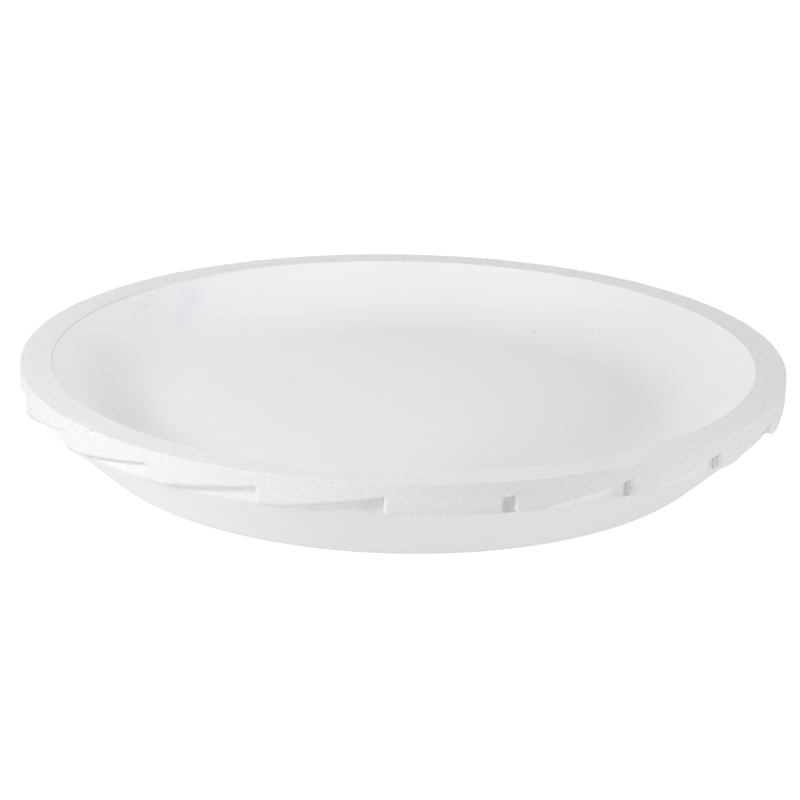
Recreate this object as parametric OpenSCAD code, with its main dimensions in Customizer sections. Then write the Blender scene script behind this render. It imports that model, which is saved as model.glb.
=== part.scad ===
// Round cheese mould dish: a smooth dish body with a toothed rim ring seated on its shoulder.
// The origin is the centre of the flat underside, +Z is the axis of the dish.

/* [Overall] */
// Outer diameter of the toothed rim
rim_d = 400; // [340:5:460]
// Height from the flat underside to the rim top
overall_h = 55; // [48:0.5:64]

/* [Toothed rim] */
// Width of the flat rim top
rim_w = 16; // [14:0.5:20]
// Height of the toothed band below the rim top
band_h = 16.5; // [14:0.5:20]
// How far the wall behind the teeth is set back from the band
setback = 5.2; // [4:0.2:7]
// How far that wall reaches below the teeth
skirt_h = 1.4; // [0.8:0.2:3]
// Width of the ring's seat outside the lip of the dish
lip_w = 4; // [2:0.5:6]
// Bevel along the rim's outer top edge
edge_bevel = 0.6; // [0.2:0.1:1.5]

/* [Ramps] */
// Number of ramps round the rim
ramp_count = 20; // [16:1:24]
// Height that each ramp climbs from the lower edge of the band
ramp_rise = 8.7; // [6:0.1:11]
// Part of each pitch that stays level before the climb starts
level_part = 0.2; // [0.1:0.05:0.4]
// Radius of the rounded lower corner at each step
step_corner_r = 2.5; // [1:0.5:4]
// Turn of the first step about the axis, in degrees
first_step_angle = -2.4; // [-9:0.1:9]

/* [Dish] */
// Depth of the hollow below the rim top
hollow_depth = 26; // [18:0.5:28]
// Diameter of the flat floor
floor_d = 260; // [220:2:290]
// Slope of the straight outside, measured from the vertical, in degrees
outside_slope = 48; // [44:0.5:52]
// Radius that blends the straight outside into the flat underside
underside_r = 30; // [15:1:40]

/* [Hidden] */
$fn = 180;

// Clearance that lets a cutter run past the face it cuts
over = 1;
// Angle between the facets of a rounded outline
arc_step = 3;
// Angle between the facets of a step's rounded corner
corner_step = 30;

rim_r = rim_d / 2;
rim_inner_r = rim_r - rim_w;
recess_r = rim_r - setback;
seat_r = rim_inner_r + lip_w;
band_z = overall_h - band_h;
seat_z = band_z - skirt_h;
pitch = 360 / ramp_count;
// Straight length of one climb, across the cutter
climb_l = rim_r * sin(pitch * (1 - level_part));

floor_r = floor_d / 2;
floor_z = overall_h - hollow_depth;
// Radius of the wall's curve, which starts level at the floor and ends at the rim's inner edge
wall_run = rim_inner_r - floor_r;
wall_r = (wall_run * wall_run + hollow_depth * hollow_depth) / (2 * hollow_depth);
wall_end_angle = asin(wall_run / wall_r);
// Angle of the straight outside above the level, and the radius where the underside goes flat
outside_angle = 90 - outside_slope;
blend_top_z = underside_r * (1 - cos(outside_angle));
blend_top_r = recess_r - (seat_z - blend_top_z) * tan(outside_slope);
underside_flat_r = blend_top_r - underside_r * sin(outside_angle);

// Points of an arc that starts level at its lowest point and curls up and outwards
function rising_arc(start_r, start_z, radius, end_angle) =
    let (steps = ceil(end_angle / arc_step))
    [for (i = [0:steps]) let (a = end_angle * i / steps)
        [start_r + radius * sin(a), start_z + radius * (1 - cos(a))]];

function reversed(points) = [for (i = [len(points) - 1:-1:0]) points[i]];

// Section of the ring before its teeth are cut, radius across and height up
module rim_section() {
    polygon([
        [rim_inner_r, overall_h],
        [rim_r - edge_bevel, overall_h],
        [rim_r, overall_h - edge_bevel],
        [rim_r, seat_z],
        [seat_r, seat_z],
        [seat_r, overall_h - lip_w]
    ]);
}

// Side view of the gap between two teeth: a long climb, an upright step and its rounded lower corner.
// The step stands at 0, and the next tooth's level edge lies to the right of it. The climb and the last
// facet of the corner run on below the teeth, so that the gap opens downwards.
module gap_outline() {
    polygon(concat(
        [[-climb_l * (1 + over / ramp_rise), -over], [0, ramp_rise]],
        [for (a = [0:corner_step:90 - corner_step])
            [step_corner_r * (1 - cos(a)), step_corner_r * (1 - sin(a))]],
        [[step_corner_r + over / tan(corner_step / 2), -over]]
    ));
}

// One gap between two teeth, as a bar that runs through the band from the outside
module gap_bar() {
    translate([seat_r, 0, band_z])
        rotate([90, 0, 90])
            linear_extrude(height = 2 * setback + lip_w)
                gap_outline();
}

// All that is cut away round the ring's lower part: the space below the teeth and every gap between them
module tooth_space() {
    difference() {
        union() {
            translate([0, 0, seat_z - over])
                cylinder(r = rim_r + over, h = skirt_h + over);
            for (i = [0:ramp_count - 1])
                rotate([0, 0, first_step_angle + i * pitch])
                    gap_bar();
        }
        translate([0, 0, seat_z - 2 * over])
            cylinder(r = recess_r, h = band_h + 2 * over);
    }
}

// Granular ring that makes the rim top and the toothed band
module toothed_rim() {
    color("whitesmoke")
        difference() {
            rotate_extrude() rim_section();
            tooth_space();
        }
}

// Smooth dish with a flat floor, a curved wall and a shoulder that carries the ring
module dish_body() {
    color("white")
        rotate_extrude()
            polygon(concat(
                [[0, 0]],
                rising_arc(underside_flat_r, 0, underside_r, outside_angle),
                [[recess_r, seat_z], [seat_r, seat_z], [seat_r, overall_h - lip_w]],
                reversed(rising_arc(floor_r, floor_z, wall_r, wall_end_angle)),
                [[0, floor_z]]
            ));
}

toothed_rim();
dish_body();
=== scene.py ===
import math

import bpy
import numpy as np
from mathutils import Matrix, Vector


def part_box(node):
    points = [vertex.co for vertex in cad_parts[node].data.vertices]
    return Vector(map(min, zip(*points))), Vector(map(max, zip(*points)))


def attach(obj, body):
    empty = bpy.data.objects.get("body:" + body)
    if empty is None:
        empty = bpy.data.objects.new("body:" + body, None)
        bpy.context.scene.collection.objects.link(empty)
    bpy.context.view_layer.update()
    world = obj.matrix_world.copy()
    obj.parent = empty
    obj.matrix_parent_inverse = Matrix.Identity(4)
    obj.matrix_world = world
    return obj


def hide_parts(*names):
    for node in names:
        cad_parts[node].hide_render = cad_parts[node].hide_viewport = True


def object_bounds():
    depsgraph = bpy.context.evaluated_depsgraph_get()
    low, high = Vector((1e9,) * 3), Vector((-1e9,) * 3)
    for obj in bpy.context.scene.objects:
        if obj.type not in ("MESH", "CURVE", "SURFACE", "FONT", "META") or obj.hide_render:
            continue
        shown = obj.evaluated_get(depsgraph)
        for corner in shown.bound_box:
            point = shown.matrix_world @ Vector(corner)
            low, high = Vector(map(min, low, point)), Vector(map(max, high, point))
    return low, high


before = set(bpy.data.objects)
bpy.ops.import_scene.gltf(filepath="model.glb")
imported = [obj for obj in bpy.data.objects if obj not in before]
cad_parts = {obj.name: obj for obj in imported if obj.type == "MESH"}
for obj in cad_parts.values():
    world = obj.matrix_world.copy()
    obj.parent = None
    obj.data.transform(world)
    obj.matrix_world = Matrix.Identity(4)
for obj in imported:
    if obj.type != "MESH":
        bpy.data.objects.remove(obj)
CAD_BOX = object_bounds()

# ---------------------------------------------------------------- sizes
# Lengths are in metres, and angles are in degrees where a name ends in DEG.

MM = 0.001

RIM_LOW, RIM_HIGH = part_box("toothed_rim")
BASE_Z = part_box("dish_body")[0].z

# Rim ring, and the radii of its rounded corners
TOP_Z = CAD_BOX[1].z
INSIDE_CAD = 0.01 * MM
RIM_R = RIM_HIGH.x - INSIDE_CAD
RIM_W = 16 * MM
RIM_INNER_R = RIM_R - RIM_W
BAND_H = 16.5 * MM
BAND_Z = TOP_Z - BAND_H
SETBACK = 5.2 * MM
RECESS_R = RIM_R - SETBACK
SEAT_Z = RIM_LOW.z
LIP_W = 4 * MM
SEAT_R = RIM_INNER_R + LIP_W
INNER_ROUND = 0.08 * MM
OUTER_ROUND = 0.3 * MM
LOW_ROUND = 0.4 * MM
WALL_ROUND = 0.04 * MM

# Ramps
RAMP_COUNT = 20
PITCH = 2 * math.pi / RAMP_COUNT
RAMP_RISE = 8.7 * MM
LEVEL_PART = 0.2
RAMP_BEND = 2 * MM
STEP_CORNER_R = 2.5 * MM
FIRST_STEP_DEG = -2.4
STEP_DRAFT = 0.25 * MM
STEP_EDGE_R = 2.0 * MM
STEP_TOP_Z = BAND_Z + RAMP_RISE
STEP_FOOT_Z = BAND_Z + 0.75 * STEP_CORNER_R
PLAIN_BAND_Z = STEP_TOP_Z + 1.2 * MM

# Grain pressed into the ring: depth, size and seed of each layer, and a share for each stretch of its section
GRAIN_LAYERS = ((0.16 * MM, 3.1 * MM, 1), (0.10 * MM, 1.7 * MM, 2), (0.18 * MM, 17 * MM, 3))
LOW_EDGE_GRAIN = 0.8
LEDGE_GRAIN = 0.6
WALL_GRAIN = 0.25
GRAIN_FADE = 2 * MM

# Crumbling: its depth, its size and seed along the teeth and then on the rim, how far up a ramp it starts,
# and how many rows of the mesh it takes in on each side of the rim's edge
CRUMBLE = 0.35 * MM
CRUMBLE_SIZE = 2.3 * MM
CRUMBLE_SEED = 5
CRUMB_SIZE = 2.1 * MM
CRUMB_SEED = 4
CRUMBLE_START = 0.3 * MM
CRUMBLE_ROWS = 3

# Chips: how deep they are, and how far each spreads for its radius
CHIP_DEPTH = 0.9 * MM
CHIP_SPREAD = 1.3

# Painted shade on the lower edges of the teeth, under the ledge, on the wall beside the steps and on the
# steps:
# the side of the ring where each lies, and the cosines from there at which it starts and is full
PAINTED_SHADE_SIDES = ((-150, 0.35, 0.8), (-95, 0.95, 0.995), (-74, 0.97, 0.995), (-58, 0.85, 0.98))

# How dark the painted shade is on each stretch, and how far it reaches from a step or up a ramp
LOW_EDGE_SHADE = 1.5
BAND_SHADE = 0.8
BAND_SHADE_START = 0.85
LEDGE_SHADE = 0.8
WALL_SHADE = 1.2
STEP_SHADE = 1.2
SHADE_REACH = 3 * MM

# Dish
HOLLOW_DEPTH = 26 * MM
HOLLOW_FLOOR_Z = TOP_Z - HOLLOW_DEPTH
HOLLOW_FLOOR_R = 130 * MM
OUTSIDE_SLOPE_DEG = 48.0
BLEND_R = 30 * MM
UNDERSIDE_HUB_R = 1 * MM
FLOOR_HUB_R = 0.5 * MM

# Marks of use, and spots of painted shadow: the place of each on the object, then a chip's or speck's radius,
# a stain's or scuff's stretch and strength, or a shadow spot's radius and strength
CHIPS = (
    ((-0.1645, -0.1127, 0.0545), 3.0 * MM), ((-0.1580, -0.1215, 0.0540), 4.2 * MM),
    ((-0.1520, -0.1290, 0.0545), 3.4 * MM), ((-0.1965, -0.0500, 0.0535), 5.0 * MM),
)
SPECKS = (
    ((0.0737, 0.1277, 0.0312), 1.1 * MM), ((-0.0596, 0.0429, 0.0290), 0.9 * MM),
    ((-0.0265, 0.0702, 0.0290), 0.6 * MM), ((0.0324, 0.1065, 0.0290), 0.7 * MM),
    ((0.1051, 0.1173, 0.0347), 0.7 * MM),
)
STAINS = (
    ((-0.1235, 0.1130, 0.0400), (1, 0.45, 0.6), 0.75), ((-0.1190, 0.1290, 0.0466), (1, 0.5, 0.6), 0.80),
)
# spots of painted shadow along the foot of the hollow's left wall
PAINTED_SHADOW_SPOTS = (
    ((-0.1590, 0.0450, 0.0385), 14 * MM, 0.14), ((-0.1585, 0.0220, 0.0355), 14 * MM, 0.17),
    ((-0.1550, 0.0010, 0.0337), 13 * MM, 0.20), ((-0.1510, -0.0170, 0.0324), 13 * MM, 0.22),
    ((-0.1465, -0.0370, 0.0320), 12 * MM, 0.34), ((-0.1370, -0.0520, 0.0306), 11 * MM, 0.20),
)
SCUFFS = (
    ((-0.1419, 0.1154, 0.0530), (0.8, 0.5, 1), 0.22), ((-0.1476, 0.1022, 0.0490), (1, 0.6, 1), 0.16),
    ((-0.1290, 0.1310, 0.0530), (0.7, 0.8, 1), 0.12),
)
CHIP_SOFTNESS = 0.4
SPECK_SOFTNESS = 0.8
STAIN_R = 3.5 * MM
STAIN_SOFT = 4 * MM
SCUFF_R = 6 * MM

# Painted shade along the seam at the top of the hollow: its side, how far round it spreads and how far down
# it runs
SHADED_SEAM_SIDE = (-0.94, 0.33, 0)
SHADED_SEAM_SPREAD = 0.25
SHADED_SEAM_HEIGHT = 0.9 * MM

# Colours
GRAIN_TONES = ((0.766, 0.766, 0.782), (0.862, 0.862, 0.878))
CLOUD_TONE = (0.835, 0.835, 0.85)
CRUMB_TONE = (0.905, 0.905, 0.905)
# the painted shade of the recesses, ledges and steps
PAINTED_SHADE_TONE = (0.60, 0.60, 0.62)
SMOOTH_TONES = ((0.842, 0.842, 0.858), (0.854, 0.854, 0.870))
SPECK_TONE = (0.5, 0.5, 0.51)
STAIN_TONE = (0.74, 0.73, 0.86)
# painted shadow at the foot of the hollow's left wall, and the scuffs
SHADOW_AND_SCUFF_TONE = (0.62, 0.62, 0.64)
# painted shade along the seam at the top of the hollow
SEAM_SHADE_TONE = (0.55, 0.55, 0.57)

# How strongly the painted shade of the recesses, the specks and the painted shade along the seam cover the
# polymer
PAINTED_SHADE_STRENGTH = 0.45
SPECK_STRENGTH = 0.4
SEAM_SHADE_STRENGTH = 0.6

# Textures: how many features each has to a metre, and the range that holds most of a noise
CLOUDS_PER_M = 40.0
GRAINS_PER_M = 700.0
LUMPS_PER_M = 260.0
PATCHES_PER_M = 16.0
PORES_PER_M = 900.0
SCRAPES_PER_M = 170.0
TURNING_PER_M = 260.0
NOISE_SPAN = (0.3, 0.7)

# Finish: roughness from the least to the most, and how deep and how strong the bumps are. The wall behind the
# teeth has a share of the ring's bumps, and the pores are stronger outside than in the hollow.
GRANULAR_ROUGHNESS = (0.55, 0.72)
SMOOTH_ROUGHNESS = (0.58, 0.68)
GRAIN_BUMP = 0.21 * MM
LUMP_BUMP = 0.36 * MM
LUMP_BUMP_STRENGTH = 0.85
PORE_BUMP = 0.09 * MM
PORE_STRENGTHS = (1.0, 0.35)
TURNING_BUMP = 0.004 * MM
WALL_BUMP_SHARE = 0.15

# Mesh: columns round the ring and the dish, and rows along each stretch of their sections
COLUMNS_PER_PITCH = 80
FACE_COLUMNS = 12
EDGE_COLUMNS = 6
EDGE_CROWDING = 1.5
TOP_CROWDING = 0.6
RING_STRETCHES = (
    ("inner_edge", 3), ("top", 18), ("outer_edge", 4), ("band", 6), ("band_low", 9), ("low_edge", 3),
    ("ledge", 4), ("wall", 7), ("wall_edge", 1), ("seat", 2), ("bore", 2), ("bevel", 2),
)
DISH_COLUMNS = 480
DISH_ROWS = {
    "underside": 24, "blend": 14, "outside": 16, "seat": 3, "bore": 4, "bevel": 3, "hollow": 36, "floor": 32,
}
SHARP_DEG = 50

# Light from the world: above the horizon, and below it from the dim side to the bright side
WORLD_ABOVE = 0.0
HORIZON_SOFT = 0.05
WORLD_BELOW = (0.29, 1.32)
WORLD_BRIGHT_SIDE_DEG = 200

# Softboxes: name, azimuth and elevation in degrees, distance, size, power in watts
SOFTBOXES = (
    ("left_key", 206, 22, 1.6, 0.25, 8.1),
    ("near_left", 215, 60, 0.9, 0.4, 1.4),
    ("near_left_low", 228, 28, 0.8, 0.3, 0.4),
    ("right_key", -32, 12, 1.6, 0.2, 5.4),
    ("right_fill", 0, 4, 1.6, 0.4, 6.0),
    ("far_right_fill", 20, 10, 1.6, 0.5, 1.8),
    ("back_fill", 90, 20, 1.6, 0.9, 3.3),
    ("high_back", 90, 58, 1.6, 1.5, 1.5),
    ("back_left_fill", 124, 20, 1.6, 0.9, 1.7),
    ("front_fill", 267, 14, 1.6, 0.7, 3.9),
    ("overhead", 0, 90, 1.6, 0.9, 11.4),
)

# Camera
CAMERA_ELEVATION_DEG = 17.3
CAMERA_DISTANCE = 1.768
CAMERA_ROLL_DEG = 1.09
CAMERA_LENS_MM = 151.7
CAMERA_AIM_RIGHT = -1.4 * MM
CAMERA_AIM_DOWN = 23 * MM

# Studio floor: half its width, how far above the underside it lies, so that the two never share a plane, and
# how much light it reflects and gives
STUDIO_FLOOR_HALF = 6.0
STUDIO_FLOOR_LIFT = 0.02 * MM
STUDIO_FLOOR_GREY = 0.1
STUDIO_FLOOR_GLOW = 0.95


# ---------------------------------------------------------------- noise for the granular surface

def hashed(ix, iy, iz, seed):
    """A repeatable value from 0 to 1 for each lattice point, scattered by large odd multipliers."""
    h = (ix * 374761393 + iy * 668265263 + iz * 2147483647 + seed * 974634777) & 0xFFFFFFFF
    h = ((h ^ (h >> 13)) * 1274126177) & 0xFFFFFFFF
    return ((h ^ (h >> 16)) & 0xFFFFFF) / float(0xFFFFFF)


def value_noise(points, size, seed):
    """Smooth noise from -1 to 1 whose features are about size across."""
    p = points / size
    cell = np.floor(p).astype(np.int64)
    f = p - cell
    f = f * f * (3 - 2 * f)
    total = np.zeros(len(points))
    for dx in (0, 1):
        for dy in (0, 1):
            for dz in (0, 1):
                weight = (
                    (f[:, 0] if dx else 1 - f[:, 0])
                    * (f[:, 1] if dy else 1 - f[:, 1])
                    * (f[:, 2] if dz else 1 - f[:, 2])
                )
                total += weight * hashed(cell[:, 0] + dx, cell[:, 1] + dy, cell[:, 2] + dz, seed)
    return total * 2 - 1


# ---------------------------------------------------------------- meshes

def smoothstep(t):
    """0 below 0 and 1 above 1, with a smooth rise between."""
    t = np.clip(t, 0, 1)
    return t * t * (3 - 2 * t)


def grid_faces(columns, rows, closed_rows):
    """Quads of a grid that closes on itself round its columns, and across its rows if asked."""
    last = rows if closed_rows else rows - 1
    c, r = np.meshgrid(np.arange(columns), np.arange(last), indexing="ij")
    c, r = c.ravel(), r.ravel()
    c1, r1 = (c + 1) % columns, (r + 1) % rows
    return np.stack([c * rows + r, c1 * rows + r, c1 * rows + r1, c * rows + r1], 1)


def mesh_object(name, points, faces, material):
    """A smooth-shaded object of one mesh, with edges sharper than SHARP_DEG kept sharp."""
    mesh = bpy.data.meshes.new(name)
    mesh.from_pydata(points.tolist(), [], [list(map(int, f)) for f in faces])
    mesh.materials.append(material)
    mesh.polygons.foreach_set("use_smooth", [True] * len(mesh.polygons))
    mesh.set_sharp_from_angle(angle=math.radians(SHARP_DEG))
    mesh.update()
    piece = bpy.data.objects.new(name, mesh)
    bpy.context.scene.collection.objects.link(piece)
    return piece


def step_columns():
    """Angles within one pitch where the ring has columns at its lower edge, bunched up at the step and its
    rounded edge, and how far down the step each column lies, from 0 at its top to 1 at its foot and on."""
    draft = STEP_DRAFT / RIM_R
    edge = STEP_EDGE_R / RIM_R
    down = np.linspace(0, 1, FACE_COLUMNS)
    round_off = draft + edge * (np.arange(1, EDGE_COLUMNS + 1) / EDGE_COLUMNS) ** EDGE_CROWDING
    rest_count = COLUMNS_PER_PITCH - FACE_COLUMNS - EDGE_COLUMNS
    rest = np.linspace(draft + edge, PITCH, rest_count + 2)[1:-1]
    angle = np.concatenate([draft * down, round_off, rest])
    return angle, np.concatenate([down, np.ones(len(angle) - FACE_COLUMNS)])


def edge_limit(angle, z):
    """Largest radius at an angle past a step and a height, where the step's upright edge is rounded off."""
    x = np.clip(angle * RIM_R - STEP_DRAFT, 0, STEP_EDGE_R)
    recede = STEP_EDGE_R - np.sqrt(STEP_EDGE_R ** 2 - (STEP_EDGE_R - x) ** 2)
    below_ramps_top = smoothstep((STEP_TOP_Z + 0.5 * MM - z) / MM)
    return RIM_R - recede * below_ramps_top


def lower_edge(angle, down):
    """Height of the band's lower edge at an angle past a step: down it, then level, then up to the next."""
    along = angle * RIM_R
    start, end = LEVEL_PART * PITCH * RIM_R, PITCH * RIM_R
    climb = np.clip((along - start) / (end - start), 0, 1)
    bent = np.where(
        along < start + RAMP_BEND,
        np.clip(along - start + RAMP_BEND, 0, None) ** 2 / (4 * RAMP_BEND) / (end - start),
        climb,
    )
    level = BAND_Z + RAMP_RISE * bent
    # rounded corner at the foot of the step
    run = np.clip((STEP_CORNER_R - along) / STEP_CORNER_R, 0, 1)
    corner = BAND_Z + STEP_CORNER_R * (1 - np.sqrt(1 - run ** 2))
    on_step = STEP_TOP_Z + (STEP_FOOT_Z - STEP_TOP_Z) * down
    return np.where(down < 1, on_step, np.maximum(level, corner))


def ring_rows():
    """Rows of the ring's section: the stretch that each is on, and how far along it, from 0 to 1."""
    return [(name, i / count) for name, count in RING_STRETCHES for i in range(count)]


def ring_row(name, t, low):
    """Radius and height of one row of the ring over the columns of a pitch, how far the row gathers its
    columns at the step, and its share of the grain's depth."""
    turn = t * math.pi / 2
    rise, run = 1 - math.sin(turn), 1 - math.cos(turn)
    band_top = TOP_Z - OUTER_ROUND
    lip_z, lip_end_z = TOP_Z - LIP_W, TOP_Z - INNER_ROUND
    wall_end_z, seat_start = SEAT_Z + WALL_ROUND, RECESS_R - WALL_ROUND
    across = t - TOP_CROWDING * math.sin(2 * math.pi * t) / (2 * math.pi)
    top_r = RIM_INNER_R + INNER_ROUND + (RIM_W - INNER_ROUND - OUTER_ROUND) * across
    top_grain = float(smoothstep(across * RIM_W / GRAIN_FADE))
    stretches = {
        "inner_edge": (RIM_INNER_R + INNER_ROUND * run, TOP_Z - INNER_ROUND * rise, 0.0, 0.0),
        "top": (top_r, TOP_Z, 0.0, top_grain),
        "outer_edge": (RIM_R - OUTER_ROUND * rise, TOP_Z - OUTER_ROUND * run, 0.0, 1.0),
        "band": (RIM_R, band_top + (PLAIN_BAND_Z - band_top) * t, float(smoothstep(t)), 1.0),
        "band_low": (RIM_R, PLAIN_BAND_Z + (low + LOW_ROUND - PLAIN_BAND_Z) * t, 1.0, 1.0),
        "low_edge": (RIM_R - LOW_ROUND * run, low + LOW_ROUND * rise, 1.0, LOW_EDGE_GRAIN),
        "ledge": (RIM_R - LOW_ROUND - (SETBACK - LOW_ROUND) * t, low, 1.0, LEDGE_GRAIN),
        "wall": (RECESS_R, low + (wall_end_z - low) * t, 1.0, WALL_GRAIN),
        "wall_edge": (RECESS_R - WALL_ROUND * run, SEAT_Z + WALL_ROUND * rise, 1.0, 0.0),
        "seat": (seat_start + (SEAT_R - seat_start) * t, SEAT_Z, 1 - t, 0.0),
        "bore": (SEAT_R, SEAT_Z + (lip_z - SEAT_Z) * t, 0.0, 0.0),
        "bevel": (SEAT_R + (RIM_INNER_R - SEAT_R) * t, lip_z + (lip_end_z - lip_z) * t, 0.0, 0.0),
    }
    r, z, gather, grain = stretches[name]
    one = np.ones(COLUMNS_PER_PITCH)
    return r * one, z * one, gather, grain


def row_painted_shade(name, t, low, angle):
    """How dark each kind of painted shade is on one row, over the columns of a pitch, in the order their
    sides are listed.
    """
    climbed = smoothstep((low - BAND_Z) / SHADE_REACH)
    to_step = (PITCH - angle) * RECESS_R
    by_step = STEP_SHADE * smoothstep(2 - to_step / SHADE_REACH)
    on_step = STEP_SHADE * smoothstep(2 - 2 * angle * RIM_R / STEP_CORNER_R)
    edge_line = {"low_edge": LOW_EDGE_SHADE, "band_low": BAND_SHADE * (t > BAND_SHADE_START)}.get(name, 0.0)
    under_ledge = {"ledge": LEDGE_SHADE, "wall": WALL_SHADE * (1 - t) ** 2}.get(name, 0.0)
    behind_edge = name in ("ledge", "wall", "wall_edge")
    return edge_line * np.ones(len(low)), under_ledge * climbed, by_step * behind_edge, on_step * behind_edge


def ring_points():
    """Angle, radius and height of every point of the ring, with its grain and its painted shade, as tables
    that have a row for each of the ring's columns."""
    angle_in_pitch, down = step_columns()
    even = np.arange(COLUMNS_PER_PITCH) / COLUMNS_PER_PITCH * PITCH
    low = lower_edge(angle_in_pitch, down)
    angles, radii, heights, grains, follows, painted_shade_rows = [], [], [], [], [], []
    for name, t in ring_rows():
        r, z, gather, grain = ring_row(name, t, low)
        angle = even + (angle_in_pitch - even) * gather
        angles.append(angle)
        radii.append(np.minimum(r, edge_limit(angle, z)))
        heights.append(z)
        grains.append(grain)
        follows.append({"band_low": t, "low_edge": 1.0, "ledge": 1.0 - t}.get(name, 0.0))
        painted_shade_rows.append(row_painted_shade(name, t, low, angle_in_pitch))
    turns = math.radians(FIRST_STEP_DEG) + PITCH * np.arange(RAMP_COUNT)
    angle = (np.stack(angles, 1)[None] + turns[:, None, None]).reshape(-1, len(angles))
    r = np.tile(np.stack(radii, 1), (RAMP_COUNT, 1))
    z = np.tile(np.stack(heights, 1), (RAMP_COUNT, 1))
    # crumbled lower edge: every row that follows the edge rises with it, on the ramps only
    level = np.zeros(len(angle))
    along = np.stack([RIM_R * np.cos(angle[:, 0]), RIM_R * np.sin(angle[:, 0]), level], 1)
    rise = CRUMBLE * (1 + value_noise(along, CRUMBLE_SIZE, CRUMBLE_SEED)) / 2
    on_ramp = np.tile(smoothstep((low - BAND_Z - CRUMBLE_START) / MM) * (down >= 1), RAMP_COUNT)
    z += (rise * on_ramp)[:, None] * np.array(follows)[None]
    grain = np.tile(np.array(grains), (len(angle), 1))
    # each kind of painted shade, full on the side of the ring where it lies and fading away from there
    painted_shade = np.zeros_like(angle)
    for kind, (side_deg, start, full) in enumerate(PAINTED_SHADE_SIDES):
        layer = np.tile(np.stack([row[kind] for row in painted_shade_rows], 1), (RAMP_COUNT, 1))
        side = smoothstep((np.cos(angle - math.radians(side_deg)) - start) / (full - start))
        painted_shade = np.maximum(painted_shade, layer * side)
    return angle, r, z, grain, painted_shade


def toothed_rim(material):
    """The granular ring: flat rim top, toothed band, ledges under the teeth and the wall behind them."""
    angle, r, z, grain, painted_shade = ring_points()
    columns, rows = angle.shape
    points = np.stack([r * np.cos(angle), r * np.sin(angle), z], -1).reshape(-1, 3)
    faces = grid_faces(columns, rows, True)[:, ::-1]
    piece = mesh_object("toothed_rim_ring", points, faces, material)
    # outward normals of the smooth ring, so that every grain is pressed inwards and none stands proud
    normals = np.zeros(len(points) * 3, np.float32)
    piece.data.vertices.foreach_get("normal", normals)
    normals = normals.reshape(-1, 3).astype(float)
    depth = np.zeros(len(points))
    for layer_depth, size, seed in GRAIN_LAYERS:
        depth += layer_depth * (1 + value_noise(points, size, seed)) / 2
    crumbs = (1 + value_noise(points, CRUMB_SIZE, CRUMB_SEED)) / 2
    # crumbs off the rim's outer edge, and ragged pits where it is chipped
    names = [name for name, t in ring_rows()]
    edge_row = names.index("outer_edge") + names.count("outer_edge") // 2
    near_edge = smoothstep(1 - np.abs(np.arange(rows) - edge_row) / CRUMBLE_ROWS)
    depth += CRUMBLE * np.tile(near_edge, columns) * crumbs ** 2
    for centre, radius in CHIPS:
        away = np.linalg.norm(points - np.array(centre), axis=1) / (CHIP_SPREAD * radius)
        depth += CHIP_DEPTH * smoothstep(1.2 - away) * smoothstep(2 * crumbs - 0.6)
    points = points - normals * (depth * grain.ravel())[:, None]
    # the painted shade goes with the points, for the material to darken them by
    piece.data.attributes.new("painted_shade", "FLOAT", "POINT").data.foreach_set("value", painted_shade.ravel())
    piece.data.vertices.foreach_set("co", points.astype(np.float32).ravel())
    piece.data.update()
    return piece


def arc(start_r, start_z, radius, end_angle, steps):
    """Points of an arc that starts level at its lowest point and curls up and outwards."""
    a = np.linspace(0, end_angle, steps + 1)
    return np.stack([start_r + radius * np.sin(a), start_z + radius * (1 - np.cos(a))], 1)


def line(start, end, steps):
    """Evenly spaced points from start to just before end."""
    t = np.arange(steps)[:, None] / steps
    return np.array(start) + (np.array(end) - np.array(start)) * t


def dish_profile():
    """Radius and height of the dish from the middle of its underside round to the middle of its floor."""
    slope = math.radians(OUTSIDE_SLOPE_DEG)
    outside_angle = math.pi / 2 - slope
    blend_z = BASE_Z + BLEND_R * (1 - math.cos(outside_angle))
    blend_r = RECESS_R - (SEAT_Z - blend_z) * math.tan(slope)
    flat_r = blend_r - BLEND_R * math.sin(outside_angle)
    run = RIM_INNER_R - HOLLOW_FLOOR_R
    wall_r = (run ** 2 + HOLLOW_DEPTH ** 2) / (2 * HOLLOW_DEPTH)
    wall_end = math.asin(run / wall_r)
    lip_z = TOP_Z - LIP_W
    rows = DISH_ROWS
    return np.concatenate([
        line((UNDERSIDE_HUB_R, BASE_Z), (flat_r, BASE_Z), rows["underside"]),
        arc(flat_r, BASE_Z, BLEND_R, outside_angle, rows["blend"])[:-1],
        line((blend_r, blend_z), (RECESS_R, SEAT_Z), rows["outside"]),
        line((RECESS_R, SEAT_Z), (SEAT_R, SEAT_Z), rows["seat"]),
        line((SEAT_R, SEAT_Z), (SEAT_R, lip_z), rows["bore"]),
        line((SEAT_R, lip_z), (RIM_INNER_R, TOP_Z), rows["bevel"]),
        arc(HOLLOW_FLOOR_R, HOLLOW_FLOOR_Z, wall_r, wall_end, rows["hollow"])[:0:-1],
        line((HOLLOW_FLOOR_R, HOLLOW_FLOOR_Z), (FLOOR_HUB_R, HOLLOW_FLOOR_Z), rows["floor"]),
        [(FLOOR_HUB_R, HOLLOW_FLOOR_Z)],
    ])


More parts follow.
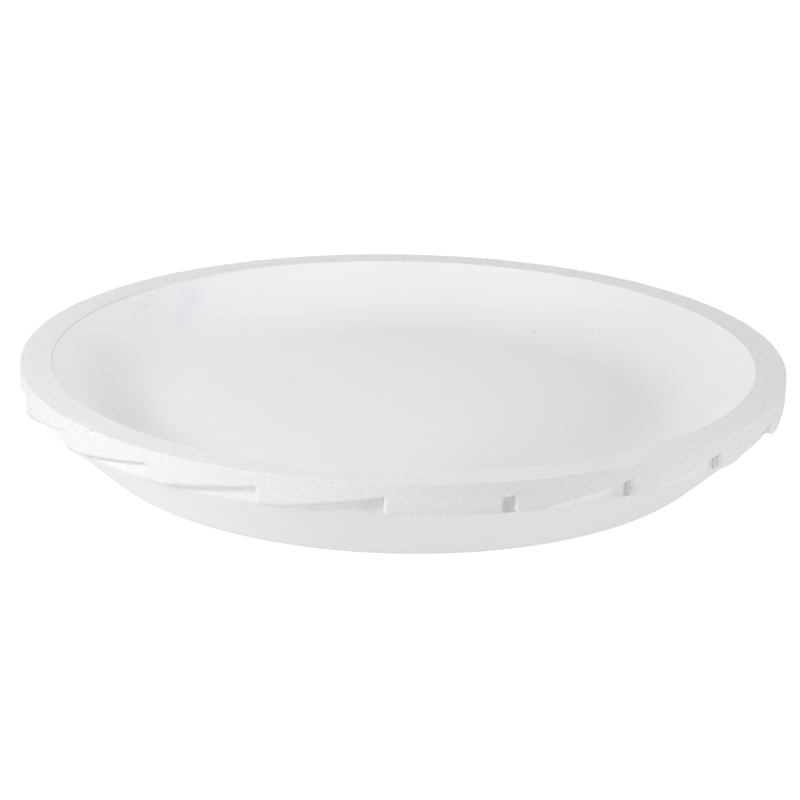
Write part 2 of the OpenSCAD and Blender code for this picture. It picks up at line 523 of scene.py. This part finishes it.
def dish_body(material):
    """The smooth dish: its profile turned about the axis, and closed there by two fans of triangles."""
    profile = dish_profile()
    rows = len(profile)
    a = np.arange(DISH_COLUMNS) * 2 * math.pi / DISH_COLUMNS
    r, z = profile[:, 0][None], profile[:, 1][None]
    points = np.stack([
        r * np.cos(a)[:, None], r * np.sin(a)[:, None], np.repeat(z, DISH_COLUMNS, 0)
    ], -1).reshape(-1, 3)
    faces = grid_faces(DISH_COLUMNS, rows, False).tolist()
    under = [c * rows for c in range(DISH_COLUMNS)]
    floor = [c * rows + rows - 1 for c in range(DISH_COLUMNS)]
    centre_under, centre_floor = len(points), len(points) + 1
    points = np.concatenate([points, [(0, 0, BASE_Z), (0, 0, HOLLOW_FLOOR_Z)]])
    for c in range(DISH_COLUMNS):
        n = (c + 1) % DISH_COLUMNS
        faces.append([under[n], under[c], centre_under])
        faces.append([floor[c], floor[n], centre_floor])
    return mesh_object("dish_body_turned", points, faces, material)


# ---------------------------------------------------------------- materials

def new_material(name):
    """A material with its nodes, links and shader, and the place on the object that its textures follow."""
    material = bpy.data.materials.new(name)
    material.use_nodes = True
    nodes, links = material.node_tree.nodes, material.node_tree.links
    shader = nodes["Principled BSDF"]
    place = nodes.new("ShaderNodeTexCoord")
    return material, nodes, links, shader, place.outputs["Object"]


def feed(links, value, socket):
    """Give a socket a number, or link it to where its value comes from."""
    if isinstance(value, float):
        socket.default_value = value
    else:
        links.new(value, socket)


def noise_node(nodes, links, place, scale, detail, rough=0.55):
    """Cloudy noise with so many features to a metre."""
    node = nodes.new("ShaderNodeTexNoise")
    node.inputs["Scale"].default_value = scale
    node.inputs["Detail"].default_value = detail
    node.inputs["Roughness"].default_value = rough
    links.new(place, node.inputs["Vector"])
    return node.outputs["Fac"]


def range_node(nodes, links, value, low, high, new_low, new_high):
    """A value stretched from one range to another, and held at its ends."""
    node = nodes.new("ShaderNodeMapRange")
    node.inputs["From Min"].default_value = low
    node.inputs["From Max"].default_value = high
    node.inputs["To Min"].default_value = new_low
    node.inputs["To Max"].default_value = new_high
    links.new(value, node.inputs["Value"])
    return node.outputs["Result"]


def colour_between(nodes, links, value, dark, light):
    """The dark colour where a value is 0 and the light one where it is 1."""
    node = nodes.new("ShaderNodeMix")
    node.data_type = "RGBA"
    node.inputs["A"].default_value = (*dark, 1)
    node.inputs["B"].default_value = (*light, 1)
    links.new(value, node.inputs["Factor"])
    return node.outputs["Result"]


def bump_node(nodes, links, height, distance, strength=1.0, before=None):
    """Bumps of a depth and a strength, on top of those before."""
    node = nodes.new("ShaderNodeBump")
    node.inputs["Distance"].default_value = distance
    links.new(height, node.inputs["Height"])
    feed(links, strength, node.inputs["Strength"])
    if before is not None:
        links.new(before, node.inputs["Normal"])
    return node.outputs["Normal"]


def mark_node(nodes, links, place, centre, radius, soft, stretch=(1, 1, 1)):
    """1 inside a small mark at a place on the object and 0 away from it, with a soft edge."""
    away, scaled = nodes.new("ShaderNodeVectorMath"), nodes.new("ShaderNodeVectorMath")
    away.operation, scaled.operation = "SUBTRACT", "MULTIPLY"
    away.inputs[1].default_value = centre
    scaled.inputs[1].default_value = stretch
    length = nodes.new("ShaderNodeVectorMath")
    length.operation = "LENGTH"
    links.new(place, away.inputs[0])
    links.new(away.outputs["Vector"], scaled.inputs[0])
    links.new(scaled.outputs["Vector"], length.inputs[0])
    return range_node(nodes, links, length.outputs["Value"], radius + soft, radius - soft, 0.0, 1.0)


def maths_node(nodes, links, operation, first, second):
    """An operation on two values, each of them a number or a socket."""
    node = nodes.new("ShaderNodeMath")
    node.operation = operation
    feed(links, first, node.inputs[0])
    feed(links, second, node.inputs[1])
    return node.outputs["Value"]


def stained(nodes, links, colour, mask, tint):
    """A colour that gives way to a tint where a mask is 1."""
    node = nodes.new("ShaderNodeMix")
    node.data_type = "RGBA"
    node.inputs["B"].default_value = (*tint, 1)
    links.new(mask, node.inputs["Factor"])
    links.new(colour, node.inputs["A"])
    return node.outputs["Result"]


def marked(nodes, links, colour, mask, strength, tint):
    """A colour stained by a tint, at most as strongly as a strength from 0 to 1."""
    return stained(nodes, links, colour, maths_node(nodes, links, "MULTIPLY", mask, strength), tint)


def granular_part(nodes, links, place):
    """1 on the rim top and the band, and WALL_BUMP_SHARE on the smoother wall behind the teeth."""
    parts = nodes.new("ShaderNodeSeparateXYZ")
    links.new(place, parts.inputs["Vector"])
    flat = nodes.new("ShaderNodeVectorMath")
    flat.operation = "MULTIPLY"
    flat.inputs[1].default_value = (1, 1, 0)
    links.new(place, flat.inputs[0])
    away = nodes.new("ShaderNodeVectorMath")
    away.operation = "LENGTH"
    links.new(flat.outputs["Vector"], away.inputs[0])
    band = range_node(
        nodes, links, away.outputs["Value"], RECESS_R + 1 * MM, RECESS_R + 2 * MM, WALL_BUMP_SHARE, 1.0
    )
    top = range_node(nodes, links, parts.outputs["Z"], TOP_Z - 3 * MM, TOP_Z - 2 * MM, 0.0, 1.0)
    return maths_node(nodes, links, "MAXIMUM", band, top)


def seam_painted_shade(nodes, links, place):
    """1 along a stretch of painted shade at the seam at the top of the hollow, 0 elsewhere."""
    toward, parts = nodes.new("ShaderNodeVectorMath"), nodes.new("ShaderNodeSeparateXYZ")
    toward.operation = "DOT_PRODUCT"
    toward.inputs[1].default_value = SHADED_SEAM_SIDE
    links.new(place, toward.inputs[0])
    links.new(place, parts.inputs["Vector"])
    start, full = RIM_INNER_R * (1 - SHADED_SEAM_SPREAD), RIM_INNER_R * 0.98
    near = range_node(nodes, links, toward.outputs["Value"], start, full, 0.0, 1.0)
    low_z, full_z = TOP_Z - SHADED_SEAM_HEIGHT, TOP_Z - 0.3 * SHADED_SEAM_HEIGHT
    high = range_node(nodes, links, parts.outputs["Z"], low_z, full_z, 0.0, 1.0)
    return maths_node(nodes, links, "MULTIPLY", near, high)


def granular_white():
    """White polymer as it left the mould: fused grains of about a millimetre, with faint cloudy patches and
    painted shade in the recesses.
    """
    material, nodes, links, shader, place = new_material("granular_white")
    clouds = noise_node(nodes, links, place, CLOUDS_PER_M, 4.0)
    grain = noise_node(nodes, links, place, GRAINS_PER_M, 3.0, 0.6)
    lumps = noise_node(nodes, links, place, LUMPS_PER_M, 2.0)
    tone = range_node(nodes, links, grain, *NOISE_SPAN, 0.0, 1.0)
    colour = colour_between(nodes, links, tone, *GRAIN_TONES)
    cloud = range_node(nodes, links, clouds, 0.35, 0.75, 0.0, 0.35)
    colour = stained(nodes, links, colour, cloud, CLOUD_TONE)
    crumb = 0.0
    for centre, radius in CHIPS:
        mask = mark_node(nodes, links, place, centre, radius, CHIP_SOFTNESS * radius)
        crumb = maths_node(nodes, links, "MAXIMUM", crumb, mask)
    speckle = range_node(nodes, links, grain, 0.46, 0.56, 0.0, 1.0)
    crumb = maths_node(nodes, links, "MULTIPLY", crumb, speckle)
    colour = stained(nodes, links, colour, crumb, CRUMB_TONE)
    # painted shade of the recesses, ledges and steps, read from the points
    painted_shade = nodes.new("ShaderNodeAttribute")
    painted_shade.attribute_name = "painted_shade"
    colour = marked(nodes, links, colour, painted_shade.outputs["Fac"], PAINTED_SHADE_STRENGTH, PAINTED_SHADE_TONE)
    links.new(colour, shader.inputs["Base Color"])
    roughness = range_node(nodes, links, clouds, *NOISE_SPAN, *GRANULAR_ROUGHNESS)
    links.new(roughness, shader.inputs["Roughness"])
    outer = granular_part(nodes, links, place)
    lump_strength = maths_node(nodes, links, "MULTIPLY", outer, LUMP_BUMP_STRENGTH)
    lumpy = bump_node(nodes, links, lumps, LUMP_BUMP, lump_strength)
    links.new(bump_node(nodes, links, grain, GRAIN_BUMP, outer, lumpy), shader.inputs["Normal"])
    return material


def smooth_white():
    """The same polymer, turned smooth: fine turning lines, a soft sheen, faint marks of use, a painted shadow
    at the foot of the hollow's left wall and painted shade along the seam at the top of the hollow on the
    left.
    """
    material, nodes, links, shader, place = new_material("smooth_white")
    patches = noise_node(nodes, links, place, PATCHES_PER_M, 5.0)
    pores = noise_node(nodes, links, place, PORES_PER_M, 2.0)
    tone = range_node(nodes, links, patches, *NOISE_SPAN, 0.0, 1.0)
    colour = colour_between(nodes, links, tone, *SMOOTH_TONES)
    for centre, radius in SPECKS:
        spot = mark_node(nodes, links, place, centre, radius, SPECK_SOFTNESS * radius)
        colour = marked(nodes, links, colour, spot, SPECK_STRENGTH, SPECK_TONE)
    blotches = range_node(nodes, links, patches, 0.3, 0.6, 0.5, 1.0)
    for centre, stretch, strength in STAINS:
        spot = mark_node(nodes, links, place, centre, STAIN_R, STAIN_SOFT, stretch)
        ragged = maths_node(nodes, links, "MULTIPLY", spot, blotches)
        colour = marked(nodes, links, colour, ragged, strength, STAIN_TONE)
    scrapes = noise_node(nodes, links, place, SCRAPES_PER_M, 4.0, 0.7)
    faint = range_node(nodes, links, scrapes, 0.2, 0.5, 0.7, 1.0)
    # painted shadow at the foot of the hollow's left wall, broken up by the scrapes
    for centre, radius, strength in PAINTED_SHADOW_SPOTS:
        spot = mark_node(nodes, links, place, centre, radius, radius)
        ragged = maths_node(nodes, links, "MULTIPLY", spot, faint)
        colour = marked(nodes, links, colour, ragged, strength, SHADOW_AND_SCUFF_TONE)
    scratched = range_node(nodes, links, scrapes, 0.48, 0.62, 0.0, 1.0)
    for centre, stretch, strength in SCUFFS:
        spot = mark_node(nodes, links, place, centre, SCUFF_R, SCUFF_R, stretch)
        ragged = maths_node(nodes, links, "MULTIPLY", spot, scratched)
        colour = marked(nodes, links, colour, ragged, strength, SHADOW_AND_SCUFF_TONE)
    # painted shade along the seam at the top of the hollow, on its left
    colour = marked(nodes, links, colour, seam_painted_shade(nodes, links, place), SEAM_SHADE_STRENGTH, SEAM_SHADE_TONE)
    links.new(colour, shader.inputs["Base Color"])
    roughness = range_node(nodes, links, patches, *NOISE_SPAN, *SMOOTH_ROUGHNESS)
    links.new(roughness, shader.inputs["Roughness"])
    rings = nodes.new("ShaderNodeTexWave")
    rings.wave_type, rings.rings_direction = "RINGS", "Z"
    rings.inputs["Scale"].default_value = TURNING_PER_M
    rings.inputs["Distortion"].default_value = 1.5
    rings.inputs["Detail"].default_value = 2.0
    links.new(place, rings.inputs["Vector"])
    turned = bump_node(nodes, links, rings.outputs["Fac"], TURNING_BUMP)
    facing = nodes.new("ShaderNodeSeparateXYZ")
    links.new(nodes["Texture Coordinate"].outputs["Normal"], facing.inputs["Vector"])
    pore_strength = range_node(nodes, links, facing.outputs["Z"], -0.3, 0.0, *PORE_STRENGTHS)
    links.new(bump_node(nodes, links, pores, PORE_BUMP, pore_strength, turned), shader.inputs["Normal"])
    return material


def backdrop_white():
    """A white that shines by itself, so that the floor shows white whatever light falls on it."""
    material, _, _, shader, _ = new_material("backdrop_white")
    shader.inputs["Base Color"].default_value = (STUDIO_FLOOR_GREY, STUDIO_FLOOR_GREY, STUDIO_FLOOR_GREY, 1)
    shader.inputs["Roughness"].default_value = 1.0
    shader.inputs["Emission Color"].default_value = (1, 1, 1, 1)
    shader.inputs["Emission Strength"].default_value = STUDIO_FLOOR_GLOW
    return material


# ---------------------------------------------------------------- stage

def build_floor():
    """A pale floor that shows white; the light it would throw up comes from the lower half of the world."""
    corners = ((-1, -1), (1, -1), (1, 1), (-1, 1))
    z = BASE_Z + STUDIO_FLOOR_LIFT
    points = np.array([(x * STUDIO_FLOOR_HALF, y * STUDIO_FLOOR_HALF, z) for x, y in corners])
    floor = mesh_object("floor", points, [[0, 1, 2, 3]], backdrop_white())
    floor.visible_diffuse = floor.visible_glossy = floor.visible_shadow = False


def softbox(name, azimuth_deg, elevation_deg, distance, size, power):
    """A square area light that looks at the middle of the rim from a compass angle and a height."""
    a, e = math.radians(azimuth_deg), math.radians(elevation_deg)
    away = Vector((math.cos(a) * math.cos(e), math.sin(a) * math.cos(e), math.sin(e)))
    lamp = bpy.data.lights.new(name, "AREA")
    lamp.shape = "SQUARE"
    lamp.size = size
    lamp.energy = power
    light = bpy.data.objects.new(name, lamp)
    light.location = Vector((0, 0, TOP_Z)) + away * distance
    light.rotation_mode = "QUATERNION"
    light.rotation_quaternion = away.to_track_quat("Z", "Y")
    bpy.context.scene.collection.objects.link(light)


def build_lights():
    """The softboxes, and a world that lights the object from below the horizon, more on its bright side."""
    world = bpy.data.worlds.new("studio")
    world.use_nodes = True
    nodes, links = world.node_tree.nodes, world.node_tree.links
    background = nodes["Background"]
    background.inputs["Color"].default_value = (1, 1, 1, 1)
    place, height = nodes.new("ShaderNodeTexCoord"), nodes.new("ShaderNodeSeparateXYZ")
    links.new(place.outputs["Generated"], height.inputs["Vector"])
    toward = nodes.new("ShaderNodeVectorMath")
    toward.operation = "DOT_PRODUCT"
    bright = math.radians(WORLD_BRIGHT_SIDE_DEG)
    toward.inputs[1].default_value = (math.cos(bright), math.sin(bright), 0)
    links.new(place.outputs["Generated"], toward.inputs[0])
    below = range_node(nodes, links, toward.outputs["Value"], -1.0, 1.0, *WORLD_BELOW)
    horizon = range_node(nodes, links, height.outputs["Z"], -HORIZON_SOFT, HORIZON_SOFT, 0.0, WORLD_ABOVE)
    links.new(below, horizon.node.inputs["To Min"])
    links.new(horizon, background.inputs["Strength"])
    bpy.context.scene.world = world
    for name, azimuth_deg, elevation_deg, distance, size, power in SOFTBOXES:
        softbox(name, azimuth_deg, elevation_deg, distance, size, power)


def build_camera():
    """The camera at the photograph's viewing angle, with its slight tilt."""
    e = math.radians(CAMERA_ELEVATION_DEG)
    back = Vector((0, -math.cos(e), math.sin(e)))
    right = Vector((1, 0, 0))
    up = back.cross(right)
    rim_centre = Vector((0, 0, TOP_Z))
    place = rim_centre + back * CAMERA_DISTANCE
    aim = rim_centre + right * CAMERA_AIM_RIGHT - up * CAMERA_AIM_DOWN
    data = bpy.data.cameras.new("camera")
    data.lens = CAMERA_LENS_MM
    camera = bpy.data.objects.new("camera", data)
    camera.location = place
    camera.rotation_mode = "QUATERNION"
    look = (aim - place).to_track_quat("-Z", "Y")
    roll = Matrix.Rotation(math.radians(CAMERA_ROLL_DEG), 4, "Z").to_quaternion()
    camera.rotation_quaternion = look @ roll
    bpy.context.scene.collection.objects.link(camera)
    bpy.context.scene.camera = camera


# ---------------------------------------------------------------- assembly

build_camera()
build_lights()
build_floor()
bpy.context.scene.view_settings.view_transform = "Standard"

rim = toothed_rim(granular_white())
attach(rim, "root")
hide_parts("toothed_rim")

dish = dish_body(smooth_white())
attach(dish, "root")
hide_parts("dish_body")
